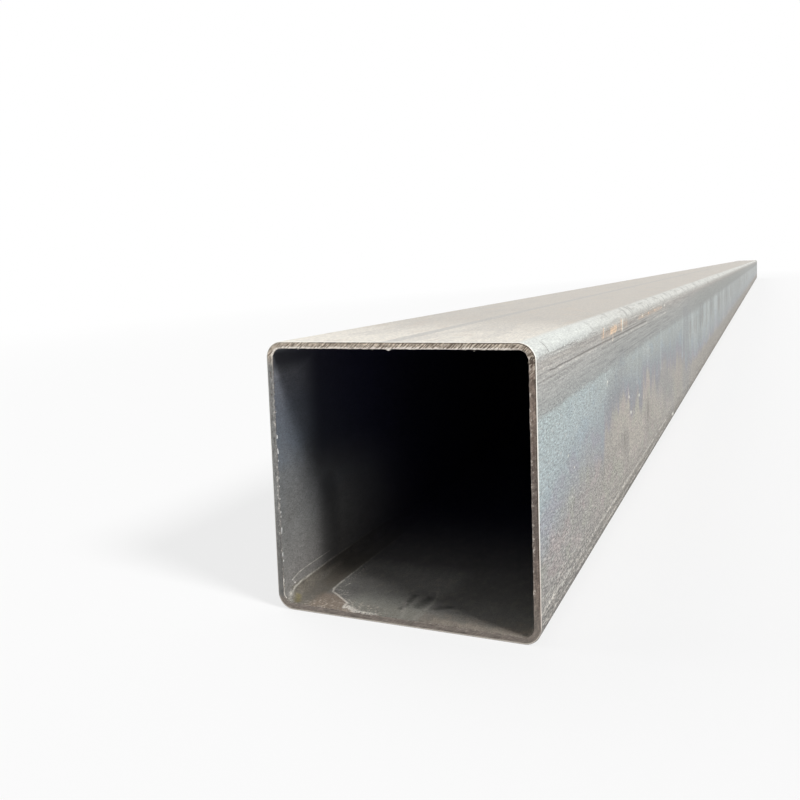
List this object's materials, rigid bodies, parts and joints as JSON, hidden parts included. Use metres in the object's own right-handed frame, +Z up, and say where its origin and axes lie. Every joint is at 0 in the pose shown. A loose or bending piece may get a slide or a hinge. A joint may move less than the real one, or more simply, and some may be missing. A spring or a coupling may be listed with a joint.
{
  "type": "square steel tube",
  "caption": "Long cold-formed square steel tube with rounded corners, sawn ends and a low weld bead inside its top wall.",
  "frame": {"origin": "middle of the bottom face, at mid length", "axes": "+X along the tube, +Y across it, +Z up; the weld seam is in the top wall"},
  "size_m": [12, 0.25, 0.25],
  "materials": {
    "steel": "bare cold-formed steel with dull grey mill skin, faint rust spots and rough sawn ends"
  },
  "bodies": {
    "root": {"square_tube": "steel"}
  },
  "joints": []
}
